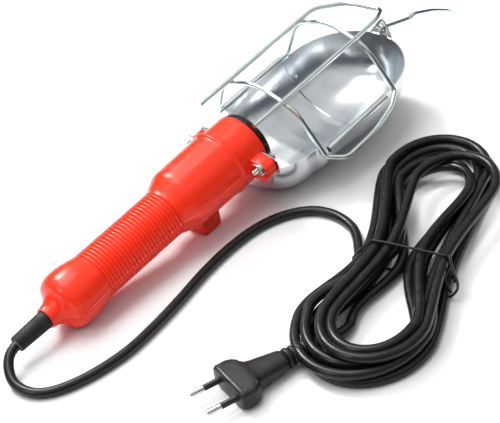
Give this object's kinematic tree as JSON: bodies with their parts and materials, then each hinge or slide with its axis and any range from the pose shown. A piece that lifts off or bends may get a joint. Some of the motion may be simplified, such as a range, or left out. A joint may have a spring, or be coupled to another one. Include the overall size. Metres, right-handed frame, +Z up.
{
  "type": "work light",
  "caption": "Hand-held inspection lamp: moulded handle with lampholder, half-round sheet reflector, hinged wire guard, swivel hook and a mains cord tied in a hank.",
  "frame": {"origin": "on the floor, under the middle of the lamp without its cord", "axes": "+X along the lamp from cord inlet to hook, +Z up from the floor, +Y to the side of the guard hinge; the lamp lies nose up by 7 degrees on its foot and its bowl"},
  "size_m": [0.4364, 0.2428, 0.0788],
  "materials": {
    "red_plastic": "moulded, glossy",
    "black_plastic": "moulded, satin",
    "bakelite": "pressed, satin",
    "zinc_sheet": "bright zinc plate",
    "zinc_wire": "bright zinc plate",
    "brass": "stamped",
    "nickel": "bright plate",
    "cord_rubber": "satin black sheath",
    "core_brown": "brown insulation",
    "core_blue": "blue insulation"
  },
  "bodies": {
    "handle": {"handle_upper_shell": "red_plastic", "handle_lower_shell": "red_plastic", "cable_sleeve": "cord_rubber", "cord_inner_run": "cord_rubber", "cord_clamp_bar": "black_plastic", "clamp_screw_right": "nickel", "clamp_screw_left": "nickel", "core_live": "core_brown", "core_neutral": "core_blue", "lampholder_body": "bakelite", "lampholder_ring": "bakelite", "screw_shell": "brass", "centre_contact": "brass", "terminal_screw_live": "brass", "terminal_screw_neutral": "brass", "reflector": "zinc_sheet", "lug_screw_left": "nickel", "lug_screw_right": "nickel", "lug_nut_left": "nickel", "lug_nut_right": "nickel", "cord": "cord_rubber", "cord_hank": "cord_rubber", "hank_tie": "black_plastic", "plug_body": "black_plastic", "plug_boot": "black_plastic", "plug_pin_sleeve_left": "black_plastic", "plug_pin_sleeve_right": "black_plastic", "plug_pin_left": "nickel", "plug_pin_right": "nickel"},
    "guard": {"guard_frame_wire": "zinc_wire", "guard_long_wire": "zinc_wire"},
    "hook": {"hook": "zinc_wire"}
  },
  "joints": [
    {"name": "guard_hinge", "type": "hinge", "parent": "handle", "child": "guard", "pos_m": [0.0434, 0.05066, 0.03508], "axis": [-0.9925, 0, -0.1219], "range_deg": [0, 110]},
    {"name": "hook_swivel", "type": "hinge", "parent": "handle", "child": "hook", "pos_m": [0.12365, 0.00546, 0.04826], "axis": [0.9703, 0, -0.2419], "continuous": true}
  ]
}
